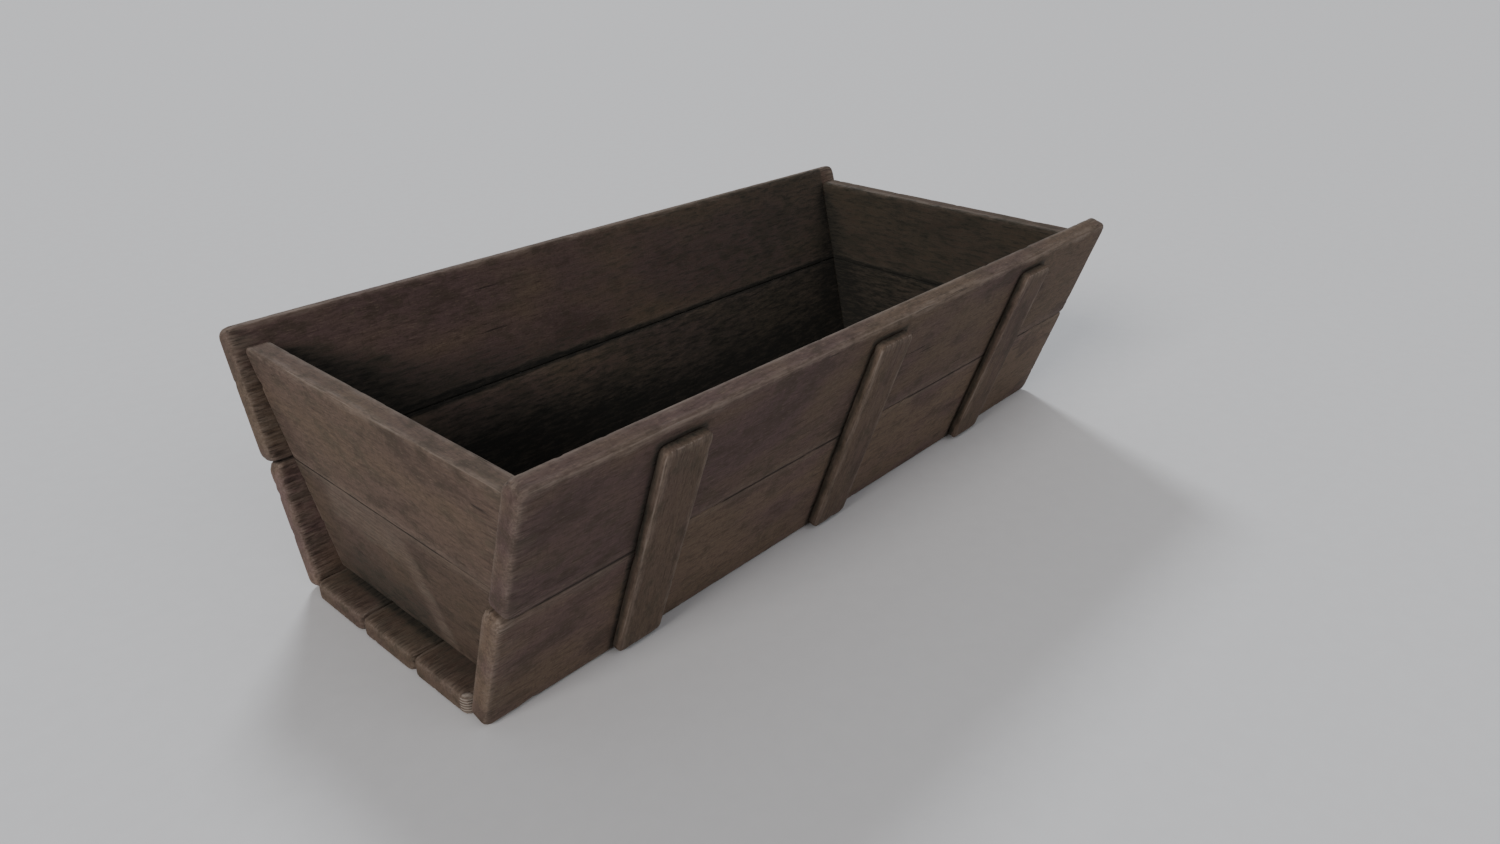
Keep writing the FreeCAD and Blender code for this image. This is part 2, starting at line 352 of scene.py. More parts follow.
def wear(board, chance, amount=1.0):
    """Returns how deep the last step, the open checks, went at each point, in metres."""
    for texture, stretch, strength, still, group in WEAR:
        before = points_of(board)
        bpy.ops.object.empty_add(location=[chance.uniform(-9, 9) for axis in range(3)])
        ruler = bpy.context.object
        ruler.scale = (stretch, 1, 1)
        bpy.context.view_layer.update()
        bpy.ops.object.select_all(action="DESELECT")
        bpy.context.view_layer.objects.active = board
        displace = board.modifiers.new(texture.name, "DISPLACE")
        displace.texture = texture
        displace.texture_coords = "OBJECT"
        displace.texture_coords_object = ruler
        displace.direction = "NORMAL"
        displace.strength = strength * amount
        displace.mid_level = still
        displace.vertex_group = group
        bpy.ops.object.modifier_apply(modifier=displace.name)
        bpy.data.objects.remove(ruler)
    board.vertex_groups.clear()
    return np.linalg.norm(points_of(board) - before, axis=1)


print("a board is worn in", len(WEAR), "steps:", [texture.name for texture, *rest in WEAR])

# %% [markdown]
# ## Dirt and painted shade
#
# Ore dust, damp and painted shade darken a tub from the floor up and where boards meet. They depend on the
# place and not on the board, so they are worked out after the board stands where it belongs. Three kinds
# are
# added up: dust and painted shade inside the tub, painted shade with some dust beside the battens, and
# dust, painted shade and a stain where the floor planks pass under the ends. Each is a product of fades, a
# smooth step from one distance to another.

# %% Dirt and painted shade inside the tub
def fade(values, start, end):
    """1 at start, 0 at end, smooth between."""
    share = np.clip((values - end) / (start - end), 0, 1)
    return share * share * (3 - 2 * share)


def dirt_and_shade_inside(points):
    """Darker below the seam, near the floor, in the corners, along the seam and toward the back: painted
    shade in the depth of the tub, with some dust. The front corners are the darkest, above all over the
    seam, where a painted shadow of the front end spreads over the sides."""
    depths = np.array([depth_below(points, plane) for plane in INSIDE_PLANES])
    nearest, second = np.sort(depths, axis=0)[:2]
    height = points[:, 2]
    inside = fade(nearest, -0.001, -0.007)
    frontness = fade(points[:, 0], -TUB_LENGTH / 2, TUB_LENGTH / 4)
    backness = fade(points[:, 0], TUB_LENGTH / 2, -0.4 * TUB_LENGTH)

    # Darker low down and toward the floor: painted shade in the depth of the tub, with some dust.
    low_down = 0.26 * fade(height, SEAM_Z - 0.006, SEAM_Z + 0.012)
    rising = (0.22 + 0.14 * frontness) * fade(height, FLOOR_TOP, 0.95 * SEAM_Z)
    # Painted shade in the corners, spread wide near the front into a painted shadow of the front end.
    front_shadow_spread = np.where(height > SEAM_Z, 0.45, 0.12) * frontness
    shade_reach = 0.03 + 0.03 * frontness + (0.04 + front_shadow_spread) * fade(height, 0.9 * SEAM_Z, END_TOP_Z)
    corner = (0.35 + 0.60 * frontness) * fade(second / shade_reach, 0.0, 1.0)
    corner *= fade(height, END_TOP_Z - 0.03, END_TOP_Z)
    # A dark band along the inside seam: dirt in the joint and painted shade, widest near the front.
    off_the_seam = np.abs(height - SEAM_Z - 0.002) - 0.004 * frontness
    joint = (0.4 + 0.5 * frontness) * fade(off_the_seam, 0.001, 0.007)
    # Darker toward the back: painted shade.
    return inside * (0.04 + low_down + rising + corner + 0.48 * backness + joint)


print("dirt is full at", round(FLOOR_TOP, 3), "m up and thin at", round(END_TOP_Z, 3), "m up")

# %% [markdown]
# Where a batten meets a board, a thin dark line of painted shade goes round it, with some dust. To find the
# places beside a batten, points are carried back to the flat bench, where a batten's outline is a plain
# rectangle.

# %% Painted shade and dirt on the outside
def batten_boxes(side):
    """The outline of each batten of a side, on that side's bench: middle, half width, foot and head."""
    inverse = side_bench(side).inverted()
    name = "near" if side > 0 else "far"
    boxes = []
    for place in ("front", "middle", "back"):
        low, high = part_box(f"{name}_{place}_batten")
        middle = (inverse @ ((low + high) / 2)).x
        boxes.append((middle, BATTEN_WIDTH / 2, BATTEN_FOOT, SIDE_WIDTH - BATTEN_HEAD))
    return boxes


def beside_battens(points, side):
    """How far outside the outline of the nearest batten each point is, and how far out of the tub."""
    bench = np.array(side_bench(side).inverted())
    flat = points @ bench[:3, :3].T + bench[:3, 3]
    nearest = np.full(len(points), FAR_AWAY)
    for middle, half, foot, head in batten_boxes(side):
        along = np.abs(flat[:, 0] - middle) - half
        up = np.maximum(foot - flat[:, 1], flat[:, 1] - head)
        nearest = np.minimum(nearest, np.maximum(along, up))
    return nearest, flat[:, 2]


def shade_and_dirt_beside_battens(points):
    """A thin dark line on the board and up the sides of the batten: painted shade, with some grime."""
    dirt_and_shade = np.zeros(len(points))
    for side in (1, -1):
        gap, out = beside_battens(points, side)
        on_the_face = fade(np.abs(out - SIDE_THICKNESS), 0.004, 0.012)
        # Painted shade where the batten meets the board, with some dirt.
        dirt_and_shade += 0.62 * on_the_face * fade(np.abs(gap), 0.0, 0.008)
    return dirt_and_shade


def dirt_and_shade_below_ends(points):
    """A band of dust and painted shade on the planks at the foot of each end, and a stain on the foot of
    the end, off its middle.
    """
    dirt_and_shade = np.zeros(len(points))
    for end in (1, -1):
        outside = -depth_below(points, end_plane(end)) - END_THICKNESS
        # Dust with painted shade on the planks, where the end meets them.
        shaded_dusty_ledge = fade(np.abs(points[:, 2] - FLOOR_TOP), 0.002, 0.008) * fade(np.abs(outside), 0.0, 0.035)
        stain = fade(outside, -0.004, -0.010) * fade(outside, 0.004, 0.012)
        stain *= fade(points[:, 2], FLOOR_TOP + 0.02, FLOOR_TOP + 0.09)
        stain *= fade(np.abs(points[:, 1] - 0.04), 0.06, 0.14)
        dirt_and_shade += 0.30 * shaded_dusty_ledge + 0.45 * stain
    return dirt_and_shade


# Dirt and painted shade together, from 0 to 1.
def dirt_and_shade_on(points):
    return np.clip(dirt_and_shade_inside(points) + shade_and_dirt_beside_battens(points) + dirt_and_shade_below_ends(points), 0, 1)


print(len(batten_boxes(1)), "battens to a side catch the dirt")

# %% [markdown]
# ## Scrapes and shades
#
# A few scrapes are younger than the rest of the wear and still show pale wood: two strokes on the lower
# front board, a bruised corner and top edge on the lower near board, a chattered corner on the near floor
# plank and the head of the near front batten. Each is a line from start to stop with a half width and an
# amount, given where it lies on the tub. And no two boards of the walls are cut from the same plank, so
# each has its own shade, a tone. The back upper board's dark tone is partly painted shade.

# %% Scrapes and shades
NEAR = side_bench(1)
PLANK_CORNER = Vector((-TUB_LENGTH / 2, -FLOOR_HALF, 0))
SCRAPES = {
    "front_lower_end_board": [
        (Vector((-0.570, -0.018, 0.150)), Vector((-0.560, -0.080, 0.036)), 0.018, 0.85),
        (Vector((-0.570, 0.120, 0.145)), Vector((-0.570, -0.010, 0.145)), 0.034, 0.80),
    ],
    "near_lower_side_board": [
        (NEAR @ Vector((-0.592, 0.168, 0.028)), NEAR @ Vector((-0.586, 0.173, 0.026)), 0.011, 2.2),
        (NEAR @ Vector((-0.585, 0.172, 0.028)), NEAR @ Vector((-0.400, 0.172, 0.028)), 0.016, 0.5),
    ],
    "near_floor_plank": [
        (PLANK_CORNER, PLANK_CORNER + Vector((0, 0, 0.028)), 0.013, 2.0),
    ],
    "near_front_batten": [
        (NEAR @ Vector((-0.330, 0.325, 0.043)), NEAR @ Vector((-0.335, 0.300, 0.043)), 0.010, 1.0),
    ],
}
# Each wall board's tone; the back upper board's low value is partly painted shade.
SHADE = {
    "near_upper_side_board": 0.87,
    "near_lower_side_board": 1.05,
    "front_upper_end_board": 0.90,
    "front_lower_end_board": 0.70,
    "back_upper_end_board": 0.66,
    "back_lower_end_board": 1.15,
    "far_upper_side_board": 0.95,
    "far_lower_side_board": 1.30,
}
PLAIN_SHADE = 0.85


def scrapes_on(points, node):
    """How freshly scraped each point is, from the scrapes listed for its board."""
    fresh = np.zeros(len(points))
    for start, stop, half_width, amount in SCRAPES.get(node, []):
        start, run = np.array(start), np.array(stop - start)
        share = np.clip((points - start) @ run / (run @ run), 0, 1)
        away = np.linalg.norm(points - start - share[:, None] * run, axis=1)
        fresh = np.maximum(fresh, amount * fade(away, 0.3 * half_width, 1.3 * half_width))
    return fresh


print(sum(len(strokes) for strokes in SCRAPES.values()), "scrapes on", len(SCRAPES), "boards")

# %% [markdown]
# ## Making all the boards
#
# One function does the whole round for a board: saw, remember, wear, stand in place, take on dirt and
# painted shade, and then hide the joiner's board that it stands for and hang from the frame's body.

# %% One worn board
CLOSED = 0.4  # how open the ends of a face look where no checks are cut
boards = {}


def box_planes(length, width, thickness):
    """The planes of a plain board: its ends, its long edges and its faces."""
    pairs = []
    for axis, size in enumerate((length, width, thickness)):
        out = Vector([1.0 if n == axis else 0.0 for n in range(3)])
        pairs.append([(out * size / 2, out), (out * -size / 2, -out)])
    return pairs


def worn_board(node, size, place, slot, planes=None, cuts=(), amount=1.0, checked=0, tight=0, **rounding):
    """Stands for the joiner's node. Place carries it to the tub, and amount says how worn it is. Checked
    says how far the ends of a face have opened: up to 1 for the outer face, to -1 for the inner."""
    chance = random.Random(node)
    board = blank(f"worn_{node}", *size, cuts=cuts, tight=tight, **rounding)
    to_edge, to_end = remember(board, *(planes or box_planes(*size)), tight, chance)
    off_the_end = fade(to_end, 0.013, 0.005)
    opened = np.maximum(np.sign(points_of(board)[:, 2]) * checked, 0)
    weigh(board, "edges", 1 - to_edge / WORN_BAND)
    weigh(board, "faces", off_the_end)
    weigh(board, "checked ends", opened * off_the_end * (1 - to_end / CHECK_LENGTH))
    write(board, "opened", np.maximum(opened, CLOSED))
    write(board, "check", wear(board, chance, amount))
    write(board, "shade", np.full(len(board.data.vertices), SHADE.get(node, PLAIN_SHADE)))

    board.matrix_world = place
    bpy.ops.object.select_all(action="DESELECT")
    board.select_set(True)
    bpy.context.view_layer.objects.active = board
    bpy.ops.object.transform_apply(location=True, rotation=True, scale=True)
    bpy.ops.object.shade_smooth()
    # Dirt and painted shade are worked out where the board stands.
    write(board, "dirt_and_shade", dirt_and_shade_on(points_of(board)))
    write(board, "scraped", scrapes_on(points_of(board), node))

    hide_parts(node)
    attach(board, next(iter(frame["bodies"])))
    boards[node] = board
    print(node, len(board.data.polygons), "faces")


print("edges are worn over", WORN_BAND, "m, and ends are checked over", CHECK_LENGTH, "m")

# %% [markdown]
# ### Floor planks
#
# Three planks side by side, their ends blunt and chipped because they stick out past the tub. Each is a
# hair wider than the joiner drew it, so that wear leaves the gaps between them as narrow as they should
# be.

# %% Floor planks
PLANK_SWELL = 0.001
for name in ("near", "middle", "far"):
    low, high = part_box(f"{name}_floor_plank")
    size = (TUB_LENGTH, PLANK_WIDTH + PLANK_SWELL, FLOOR_TOP)
    place = Matrix.Translation((low + high) / 2)
    worn_board(f"{name}_floor_plank", size, place, "floor_wood", checked=0.7, corner=0.011, edge=0.005)

# %% [markdown]
# ### Side boards and battens
#
# The two boards of a side meet in a seam that is open in places and shut in others, so each is a shade
# wider than the joiner drew it and the wear opens the seam again. Two of them stop a little short at the
# front, where the saw didn't follow the others.

# %% Side boards and battens
SEAM_SWELL = 0.0018
SHORT_AT_THE_FRONT = {"near_upper_side_board": 0.0055, "far_lower_side_board": 0.004}
SIDE_LEVELS = [
    ("lower", SIDE_LOWER_WIDTH, 0, 1),
    ("upper", SIDE_UPPER_WIDTH, SEAM_UP + BOARD_GAP / 2, -1),
]
UPRIGHT = Matrix.Rotation(math.pi / 2, 4, "Z")
for name, side in (("near", 1), ("far", -1)):
    bench = side_bench(side)
    for level, width, foot, tight in SIDE_LEVELS:
        node = f"{name}_{level}_side_board"
        short = SHORT_AT_THE_FRONT.get(node, 0)
        size = (TUB_LENGTH - short, width + SEAM_SWELL, SIDE_THICKNESS)
        place = bench @ Matrix.Translation((side * short / 2, foot + width / 2, SIDE_THICKNESS / 2))
        worn_board(node, size, place, "side_wood", checked=-1, corner=0.0135, edge=0.006, tight=tight)
    for place_name, (middle, half, foot, head) in zip(("front", "middle", "back"), batten_boxes(side)):
        size = (head - foot, BATTEN_WIDTH, BATTEN_THICKNESS)
        out = SIDE_THICKNESS + BATTEN_THICKNESS / 2
        place = bench @ Matrix.Translation((middle, (foot + head) / 2, out))
        worn_board(f"{name}_{place_name}_batten", size, place @ UPRIGHT, "batten_wood",
                   corner=0.009, edge=0.004, amount=0.8)

# %% [markdown]
# ### End boards
#
# These are sawn on the skew at both ends, to fit between the splayed sides, and planed level at the top
# and foot because the end leans. The saw planes are the tub's own planes, carried back to the flat board.

# %% End boards
SEAM_LAP = 0.0004
SPARE = 1.1
END_LEVELS = [
    ("lower", FLOOR_TOP, SEAM_Z + SEAM_LAP, 1, 0.001),
    ("upper", SEAM_Z - SEAM_LAP, END_TOP_Z, -1, 0.013),
]


def level_plane(height, up):
    return Vector((0, 0, height)), Vector((0, 0, up))


for name, end in (("front", -1), ("back", 1)):
    for level, bottom, top, tight, corner in END_LEVELS:
        middle = (bottom + top) / 2 / math.cos(END_LEAN)
        place = end_bench(end) @ Matrix.Translation((0, middle, -END_THICKNESS / 2))
        back_to_flat = place.inverted()
        saws = [side_plane(1), side_plane(-1), level_plane(top, 1), level_plane(bottom, -1)]
        saws = [(back_to_flat @ point, back_to_flat.to_3x3() @ normal) for point, normal in saws]
        size = (2 * (SIDE_FOOT_Y + top * math.tan(SIDE_SPLAY)), (top - bottom) * SPARE, END_THICKNESS)
        planes = (saws[:2], saws[2:], box_planes(*size)[2])
        worn_board(f"{name}_{level}_end_board", size, place, "end_wood", planes=planes, cuts=saws,
                   corner=corner, edge=0.004, tight=tight, square_seam=True, amount=0.9)

# %% [markdown]
# ## Shader arithmetic
#
# A finish is easier to read as sums than as a web of nodes. A Tone wraps one socket that carries a
# number, and adding, subtracting or multiplying Tones makes the Math nodes. Finish.node makes any other
# node.

# %% Tones and finishes
class Tone:
    """A number that varies over a surface."""

    def __init__(self, socket):
        self.socket = socket

    def math(self, operation, first, second):
        tree = self.socket.id_data
        node = tree.nodes.new("ShaderNodeMath")
        node.operation = operation
        for slot, value in zip(node.inputs, (first, second)):
            if isinstance(value, Tone):
                tree.links.new(value.socket, slot)
            else:
                slot.default_value = value
        return Tone(node.outputs[0])

    def __add__(self, other):
        return self.math("ADD", self, other)

    def __radd__(self, other):
        return self.math("ADD", other, self)

    def __sub__(self, other):
        return self.math("SUBTRACT", self, other)

    def __rsub__(self, other):
        return self.math("SUBTRACT", other, self)

    def __mul__(self, other):
        return self.math("MULTIPLY", self, other)

    def __rmul__(self, other):
        return self.math("MULTIPLY", other, self)

    def sine(self):
        return self.math("SINE", self, 0.0)


class Finish:
    """A material being put together."""

    def __init__(self, name):
        self.material = bpy.data.materials.new(name)
        self.material.use_nodes = True
        self.tree = self.material.node_tree
        self.tree.nodes.clear()

    def node(self, kind, settings=None, inputs=None):
        """Adds a node: its settings first, then the values or links of its sockets, by name or number."""
        node = self.tree.nodes.new(f"ShaderNode{kind}")
        for name, value in (settings or {}).items():
            setattr(node, name, value)
        for name, value in (inputs or {}).items():
            slot = node.inputs[name]
            value = value.socket if isinstance(value, Tone) else value
            if isinstance(value, bpy.types.NodeSocket):
                self.tree.links.new(value, slot)
            else:
                slot.default_value = value
        return node

    def attribute(self, name):
        return self.node("Attribute", {"attribute_name": name})

    def stretched(self, vector, scale):
        """A vector with each axis scaled: a small number along the grain, large ones across it."""
        return self.node("Mapping", {"vector_type": "POINT"}, {"Vector": vector, "Scale": scale}).outputs[0]

    def noise(self, vector, scale, detail=2.0, roughness=0.5):
        where = self.stretched(vector, scale)
        inputs = {"Vector": where, "Scale": 1.0, "Detail": detail, "Roughness": roughness}
        return Tone(self.node("TexNoise", None, inputs).outputs[0])

    def between(self, tone, low, high):
        """0 where the tone is low, 1 where it is high, smooth between. Low may be the larger."""
        inputs = {"Value": tone, "From Min": low, "From Max": high}
        return Tone(self.node("MapRange", {"interpolation_type": "SMOOTHSTEP"}, inputs).outputs[0])

    def blend(self, share, first, second):
        """The first colour where share is 0 and the second where it is 1."""
        mix = self.node("Mix", {"data_type": "RGBA"}, {0: share})
        for slot, value in ((mix.inputs[6], first), (mix.inputs[7], second)):
            if isinstance(value, bpy.types.NodeSocket):
                self.tree.links.new(value, slot)
            else:
                slot.default_value = (*value, 1.0)
        return mix.outputs[2]

    def scaled(self, colour, factor):
        """A colour made darker or lighter."""
        return self.node("VectorMath", {"operation": "SCALE"}, {0: colour, "Scale": factor}).outputs[0]

    def surface(self, colour, roughness, height, depth):
        bump = self.node("Bump", None, {"Height": height, "Distance": depth, "Strength": 1.0})
        inputs = {"Base Color": colour, "Roughness": roughness, "Normal": bump.outputs[0],
                  "Specular IOR Level": 0.35}
        shader = self.node("BsdfPrincipled", None, inputs)
        self.node("OutputMaterial", None, {"Surface": shader.outputs[0]})
        return self.material


print("ready to mix finishes")

# %% [markdown]
# ## Old bare wood
#
# Wood that has been out for years loses its colour and keeps its structure. Its finish is laid on in the
# order in which the wood came by it: first the bare wood, then what rubbing has bared, with a painted
# highlight on the arrises, then splits, then dirt and painted shade.
#
# All the layers share a few patterns. Fibres, strokes and threads are noise stretched along the grain,
# each at its own scale, because a single scale looks printed. Mottle, patches and clouds are rounder and
# break the layers up. All of them are laid in the tree's own coordinates, so no two boards are alike.

# %% Patterns that the layers share
class OldWood(Finish):
    """A finish with what the wood remembers, its patterns and its marks at hand."""

    def __init__(self, name, ribbed):
        super().__init__(name)
        self.place = self.attribute("tree").outputs["Vector"]
        self.edge = Tone(self.attribute("edge").outputs["Fac"])
        self.butt = Tone(self.attribute("butt").outputs["Fac"])
        self.seam = Tone(self.attribute("seam").outputs["Fac"])
        # This attribute holds dirt and painted shade.
        self.shade_and_grime = Tone(self.attribute("dirt_and_shade").outputs["Fac"])
        self.check = Tone(self.attribute("check").outputs["Fac"])
        self.shade = Tone(self.attribute("shade").outputs["Fac"])
        self.scraped = Tone(self.attribute("scraped").outputs["Fac"])
        self.opened = Tone(self.attribute("opened").outputs["Fac"])

        self.fibres = self.noise(self.place, (110, 520, 520), detail=3, roughness=0.6)
        self.strokes = self.noise(self.place, (36, 190, 190), detail=3, roughness=0.6)
        self.threads = self.noise(self.place, (12, 330, 330), detail=3, roughness=0.6)
        self.weave = self.noise(self.place, (420, 90, 90), detail=2)
        self.mottle = self.noise(self.place, (26, 42, 42), detail=4, roughness=0.65)
        self.patches = self.noise(self.place, (6, 13, 13), detail=3)
        self.clouds = self.noise(self.place, (2.5, 6, 6), detail=2)
        self.rings = self.growth_rings()
        self.mark(ribbed)

    def growth_rings(self):
        """Cylinders round the heart of the tree: long lines on the faces and arcs on the sawn ends."""
        across = self.node("VectorMath", {"operation": "MULTIPLY"}, {0: self.place, 1: (0.035, 1.0, 1.0)})
        length = self.node("VectorMath", {"operation": "LENGTH"}, {0: across.outputs[0]})
        radius = Tone(length.outputs["Value"])
        wander = self.noise(self.place, (2.0, 10, 10), detail=3)
        return (radius * 900 + wander * 30).sine() * 0.5 + 0.5

    def mark(self, ribbed):
        """Where the wood is sawn, rubbed, scraped and split. The mottle makes every rim ragged."""
        ragged = self.mottle - 0.5
        self.on_the_end = self.between(self.butt, 0.006, 0.002)
        self.near_end = self.between(self.butt, 0.05, 0.0) * (1 - self.on_the_end) * self.opened
        band = self.edge + ragged * 0.020 + (self.patches - 0.5) * 0.010
        self.rubbed_edge = self.between(band, 0.011, 0.0)
        stroke = self.scraped + ragged * 1.6 * self.between(self.scraped, 0.0, 0.2)
        self.scrape = self.between(stroke, 0.0, 1.0)
        long_splits = self.between(self.noise(self.place, (8, 190, 190), detail=2), 0.71, 0.77)
        self.splits = long_splits * (1 - self.on_the_end)
        fine_splits = self.between(self.noise(self.place, (22, 300, 300), detail=1), 0.50, 0.36)
        self.striae = fine_splits * self.near_end
        thickness = Tone(self.node("SeparateXYZ", None, {0: self.place}).outputs["Z"])
        self.ribs = ((thickness * 1700).sine() * 0.5 + 0.5) * self.scrape * ribbed


print("patterns are ready")

# %% [markdown]
# ### Bare wood
#
# Umber is the ground. Plum and olive stains drift over it where damp has stood, and dark and pale fibres
# lie in them. Every layer is a blend whose share is a pattern with its soft edges drawn in.

# %% Bare wood
UMBER = (0.132, 0.090, 0.061)
PLUM = (0.110, 0.068, 0.063)
OLIVE = (0.074, 0.058, 0.038)
FIBRE_DARK = (0.048, 0.031, 0.022)
FIBRE_PALE = (0.205, 0.150, 0.108)


def bare(wood, plum, olive):
    """Plum and olive say how much of each stain the wood shows."""
    stained = wood.between(wood.clouds * 0.5 + wood.patches * 0.5, 0.40, 0.60)
    blotched = wood.between(wood.patches + (wood.mottle - 0.5) * 0.6, 0.52, 0.68)
    colour = wood.blend(stained * plum, UMBER, PLUM)
    colour = wood.blend(wood.between(wood.mottle, 0.48, 0.66) * olive, colour, OLIVE)
    colour = wood.blend(wood.rings * 0.12, colour, FIBRE_DARK)
    colour = wood.blend(wood.between(wood.strokes, 0.50, 0.32) * 0.42, colour, FIBRE_DARK)
    colour = wood.blend(wood.between(wood.fibres, 0.50, 0.30) * 0.50, colour, FIBRE_DARK)
    colour = wood.blend(wood.between(wood.weave, 0.48, 0.30) * 0.25, colour, FIBRE_DARK)
    colour = wood.blend(blotched * 0.38, colour, FIBRE_DARK)
    colour = wood.blend(wood.between(wood.fibres, 0.55, 0.75) * 0.45, colour, FIBRE_PALE)
    return wood.scaled(colour, wood.shade)


print("bare wood is umber", UMBER)

# %% [markdown]
# ### Rubbed wood
#
# Hands and shovels rub the weathered skin off the edges, and pale wood shows in threads. The arrises are
# the
# palest: pale wood with a painted highlight laid along them. Board ends bleach, a seam gets a faint pale
# line on each side, and the scrapes bare the wood too. The corner of the near plank chattered under a blow,
# which left ribs one above another.

# %% Rubbed wood
RUBBED = (0.262, 0.207, 0.166)
RUBBED_DARK = (0.142, 0.106, 0.082)
# Pale worn wood with a painted highlight, for the arrises; the chatter ribs take it too.
PALE_WEAR_AND_HIGHLIGHT = (0.380, 0.325, 0.280)


def rubbed_over(wood, colour, rubbed):
    """Rubbed says how far the edges and ends are worn through the weathered skin."""
    threaded = wood.between(wood.threads * 0.7 + wood.fibres * 0.3, 0.40, 0.60)
    bared = wood.blend(threaded, RUBBED_DARK, RUBBED)
    bleached = wood.near_end * wood.between(wood.mottle + wood.strokes, 0.85, 1.10)
    # Along the arrises: pale rubbed wood with a painted highlight on it.
    bared_and_highlit_arris = wood.between(wood.edge, 0.0032, 0.0004) * wood.between(wood.threads, 0.44, 0.60)
    beside_seam = wood.between(wood.seam + (wood.mottle - 0.5) * 0.020, 0.016, 0.003)
    bruised = wood.between(wood.scraped, 1.0, 2.0)
    colour = wood.blend(bleached * 0.40 * rubbed, colour, bared)
    colour = wood.blend(wood.rubbed_edge * (0.45 - wood.on_the_end * 0.20) * rubbed, colour, bared)
    colour = wood.blend(bared_and_highlit_arris * 0.55 * rubbed, colour, PALE_WEAR_AND_HIGHLIGHT)
    colour = wood.blend(beside_seam * 0.18, colour, bared)
    colour = wood.blend(wood.scrape * 0.26 + bruised * 0.30, colour, bared)
    return wood.blend(wood.between(wood.ribs, 0.2, 0.9) * 0.75, colour, PALE_WEAR_AND_HIGHLIGHT)


print("rubbed wood is", RUBBED, "and its arrises are", PALE_WEAR_AND_HIGHLIGHT)

# %% [markdown]
# ### Splits, dirt and painted shade
#
# Dirt and painted shade go over everything. They are damp brown where they are thin and near black where
# they are thick, and they catch on strokes and fibres, so their rim is streaky.

# %% Splits, dirt and painted shade
SPLIT = (0.012, 0.009, 0.007)
# Damp and soot colour the dirt and also the painted shade.
DAMP_AND_SHADE = (0.030, 0.029, 0.021)
SOOT_AND_DEEP_SHADE = (0.009, 0.0088, 0.007)


def split_over(wood, colour):
    dashes = wood.between(wood.patches + (wood.mottle - 0.5) * 0.5, 0.42, 0.58)
    colour = wood.blend(wood.between(wood.seam, 0.0024, 0.0010) * dashes * 0.70, colour, SPLIT)
    colour = wood.blend(wood.striae * 0.45, colour, SPLIT)
    colour = wood.blend(wood.splits * 0.6, colour, SPLIT)
    return wood.blend(wood.between(wood.check, 0.0001, 0.0008) * 0.30, colour, SPLIT)


def dirt_and_shade_over(wood, colour, dirt_and_shade):
    """The last argument says how strong the grime and the painted shade are."""
    streaks = (wood.strokes - 0.5) * 1.2 + (wood.fibres - 0.5) * 0.8
    streaks = streaks * wood.between(wood.shade_and_grime, 0.0, 0.3)
    layer = wood.shade_and_grime * dirt_and_shade + (wood.mottle - 0.5) * 0.25 + streaks
    # Thin layers are damp brown, thick ones near black: dirt and painted shade alike.
    colour = wood.blend(wood.between(layer, 0.0, 0.7) * 0.75, colour, DAMP_AND_SHADE)
    return wood.blend(wood.between(layer, 0.45, 1.1) * 0.93, colour, SOOT_AND_DEEP_SHADE)


print("splits", SPLIT, "and soot_and_deep_shade", SOOT_AND_DEEP_SHADE)

# %% [markdown]
# ### Four kinds of the same wood
#
# The layers go together, and the same patterns raise the surface a little. The four kinds differ in how
# much they are rubbed, stained, dirtied and darkened by painted shade. Side boards are the most rubbed and
# the most plum, end boards the least, and only the floor is ribbed.

# %% The finish of old wood
RELIEF = 0.0011


def old_wood(name, rubbed=1.0, dirt_and_shade=1.0, plum=0.7, olive=0.6, ribbed=0.0):
    """Rubbed, dirt, plum, olive and ribbed say how much of each the wood shows. The grime amount also
    scales the painted shade.
    """
    wood = OldWood(name, ribbed)
    colour = bare(wood, plum, olive)
    colour = rubbed_over(wood, colour, rubbed)
    colour = split_over(wood, colour)
    colour = dirt_and_shade_over(wood, colour, dirt_and_shade)
    roughness = 0.82 + wood.fibres * 0.15 - wood.rubbed_edge * 0.12
    raised = wood.fibres * 0.45 + wood.strokes * 0.45 + wood.weave * 0.15
    raised = raised + wood.rings * 0.08 + wood.mottle * 0.6 + wood.ribs
    sunk = wood.splits * 0.8 + wood.striae * 0.5
    return wood.surface(colour, roughness, raised - sunk, RELIEF)


finishes = {
    "floor_wood": old_wood("old floor wood", plum=0.5, olive=0.7, ribbed=1.0),
    "side_wood": old_wood("old side wood", rubbed=1.05, plum=1.0, olive=0.45),
    "end_wood": old_wood("old end wood", rubbed=0.7, plum=0.4),
    "batten_wood": old_wood("old batten wood", rubbed=0.8, dirt_and_shade=0.9, plum=0.6),
}
slots = {part["node"]: part["material_slot"] for part in frame["record"]["subparts"]}
for node, board in boards.items():
    board.data.materials.clear()
    board.data.materials.append(finishes[slots[node]])
print("finished", len(boards), "boards in", len(finishes), "kinds of old wood")

# %% [markdown]
# ## Pegs
#
# The pegs are out of sight in their holes. They keep the joiner's shapes and get a plain turned wood, on
# Object coordinates, because the joiner's meshes carry no attributes.

# %% Peg wood
def peg_wood():
    finish = Finish("turned peg wood")
    place = finish.node("TexCoord").outputs["Object"]
    grain = finish.noise(place, (220, 220, 220), detail=3)
    colour = finish.blend(finish.between(grain, 0.35, 0.65), (0.30, 0.20, 0.12), (0.20, 0.13, 0.08))
    return finish.surface(colour, 0.6 + grain * 0.2, grain, 0.0004)


pegs = peg_wood()
for node, slot in slots.items():
    if slot == "peg_wood":
        frame["nodes"][node].data.materials.clear()
        frame["nodes"][node].data.materials.append(pegs)
print("pegs done")

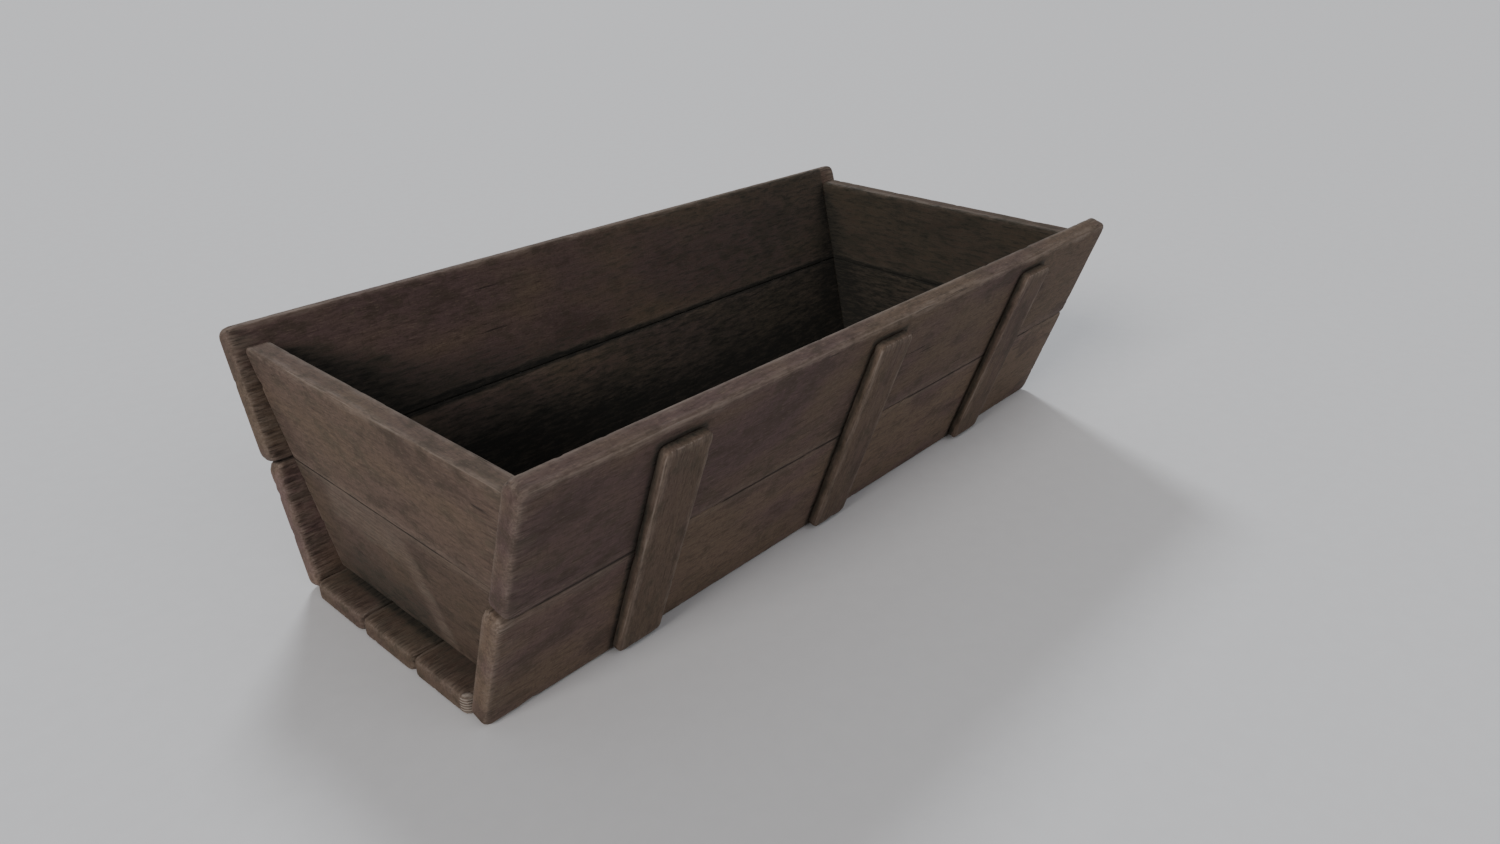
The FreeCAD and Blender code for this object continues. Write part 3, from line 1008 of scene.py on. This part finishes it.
# %% [markdown]
# ## The studio
#
# A plain pale floor. A soft lamp stands low before the front end, so that end is the brightest and the
# grain on the sides is lit from the side. A wide weak lamp fills the near side, one from behind catches
# the top edges, and the sky is dim and even, so the inside of the tub stays dark.

# %% Floor, lamps and sky
STUDIO_SIZE = 60.0
bpy.ops.mesh.primitive_plane_add(size=STUDIO_SIZE)
studio_floor = bpy.context.object
studio_floor.name = "studio_floor"
pale = Finish("pale floor")
speckle = pale.noise(pale.node("TexCoord").outputs["Object"], (40, 40, 40))
paint = pale.blend(speckle, (0.72, 0.72, 0.73), (0.76, 0.76, 0.77))
studio_floor.data.materials.append(pale.surface(paint, 0.9 + speckle * 0.05, speckle, 0.0001))


def lamp(name, softness, power, azimuth, elevation, colour):
    """A far lamp, as wide as softness in degrees, placed by its direction from the tub."""
    turn, lift = math.radians(azimuth), math.radians(elevation)
    way = Vector((math.sin(turn) * math.cos(lift), -math.cos(turn) * math.cos(lift), math.sin(lift)))
    bpy.ops.object.light_add(type="SUN", location=way * 3)
    light = bpy.context.object
    light.name = name
    light.data.angle = math.radians(softness)
    light.data.energy = power
    light.data.color = colour
    light.rotation_mode = "QUATERNION"
    light.rotation_quaternion = way.to_track_quat("Z", "Y")


lamp("key lamp", 22, 1.65, -83, 29, (1.0, 0.96, 0.92))
lamp("fill lamp", 50, 0.45, 10, 30, (0.97, 0.97, 1.0))
lamp("rim lamp", 12, 1.6, 150, 40, (0.92, 0.96, 1.0))
sky = bpy.data.worlds.new("dim sky")
sky.use_nodes = True
background = sky.node_tree.nodes["Background"]
background.inputs["Color"].default_value = (0.84, 0.85, 0.88, 1)
background.inputs["Strength"].default_value = 0.35
bpy.context.scene.world = sky
print("studio lit by", len(bpy.data.lights), "lamps")

# %% [markdown]
# ## The camera
#
# It looks down over the near front corner. It is placed by where it points, its direction and its
# distance, and it leans by less than half a degree.

# %% Camera
CAMERA_AIM = Vector((-0.0058, -0.0497, 0.1058))
CAMERA_AZIMUTH = math.radians(-48.457)
CAMERA_ELEVATION = math.radians(26.702)
CAMERA_ROLL = math.radians(0.386)
CAMERA_DISTANCE = 1.5533
CAMERA_LENS = 24.77

way = Vector((math.sin(CAMERA_AZIMUTH) * math.cos(CAMERA_ELEVATION),
              -math.cos(CAMERA_AZIMUTH) * math.cos(CAMERA_ELEVATION), math.sin(CAMERA_ELEVATION)))
bpy.ops.object.camera_add(location=CAMERA_AIM + way * CAMERA_DISTANCE)
camera = bpy.context.object
camera.data.lens = CAMERA_LENS
camera.rotation_mode = "QUATERNION"
camera.rotation_quaternion = way.to_track_quat("Z", "Y") @ Quaternion((0, 0, 1), CAMERA_ROLL)
bpy.context.scene.camera = camera
print("camera at", [round(value, 3) for value in camera.location])
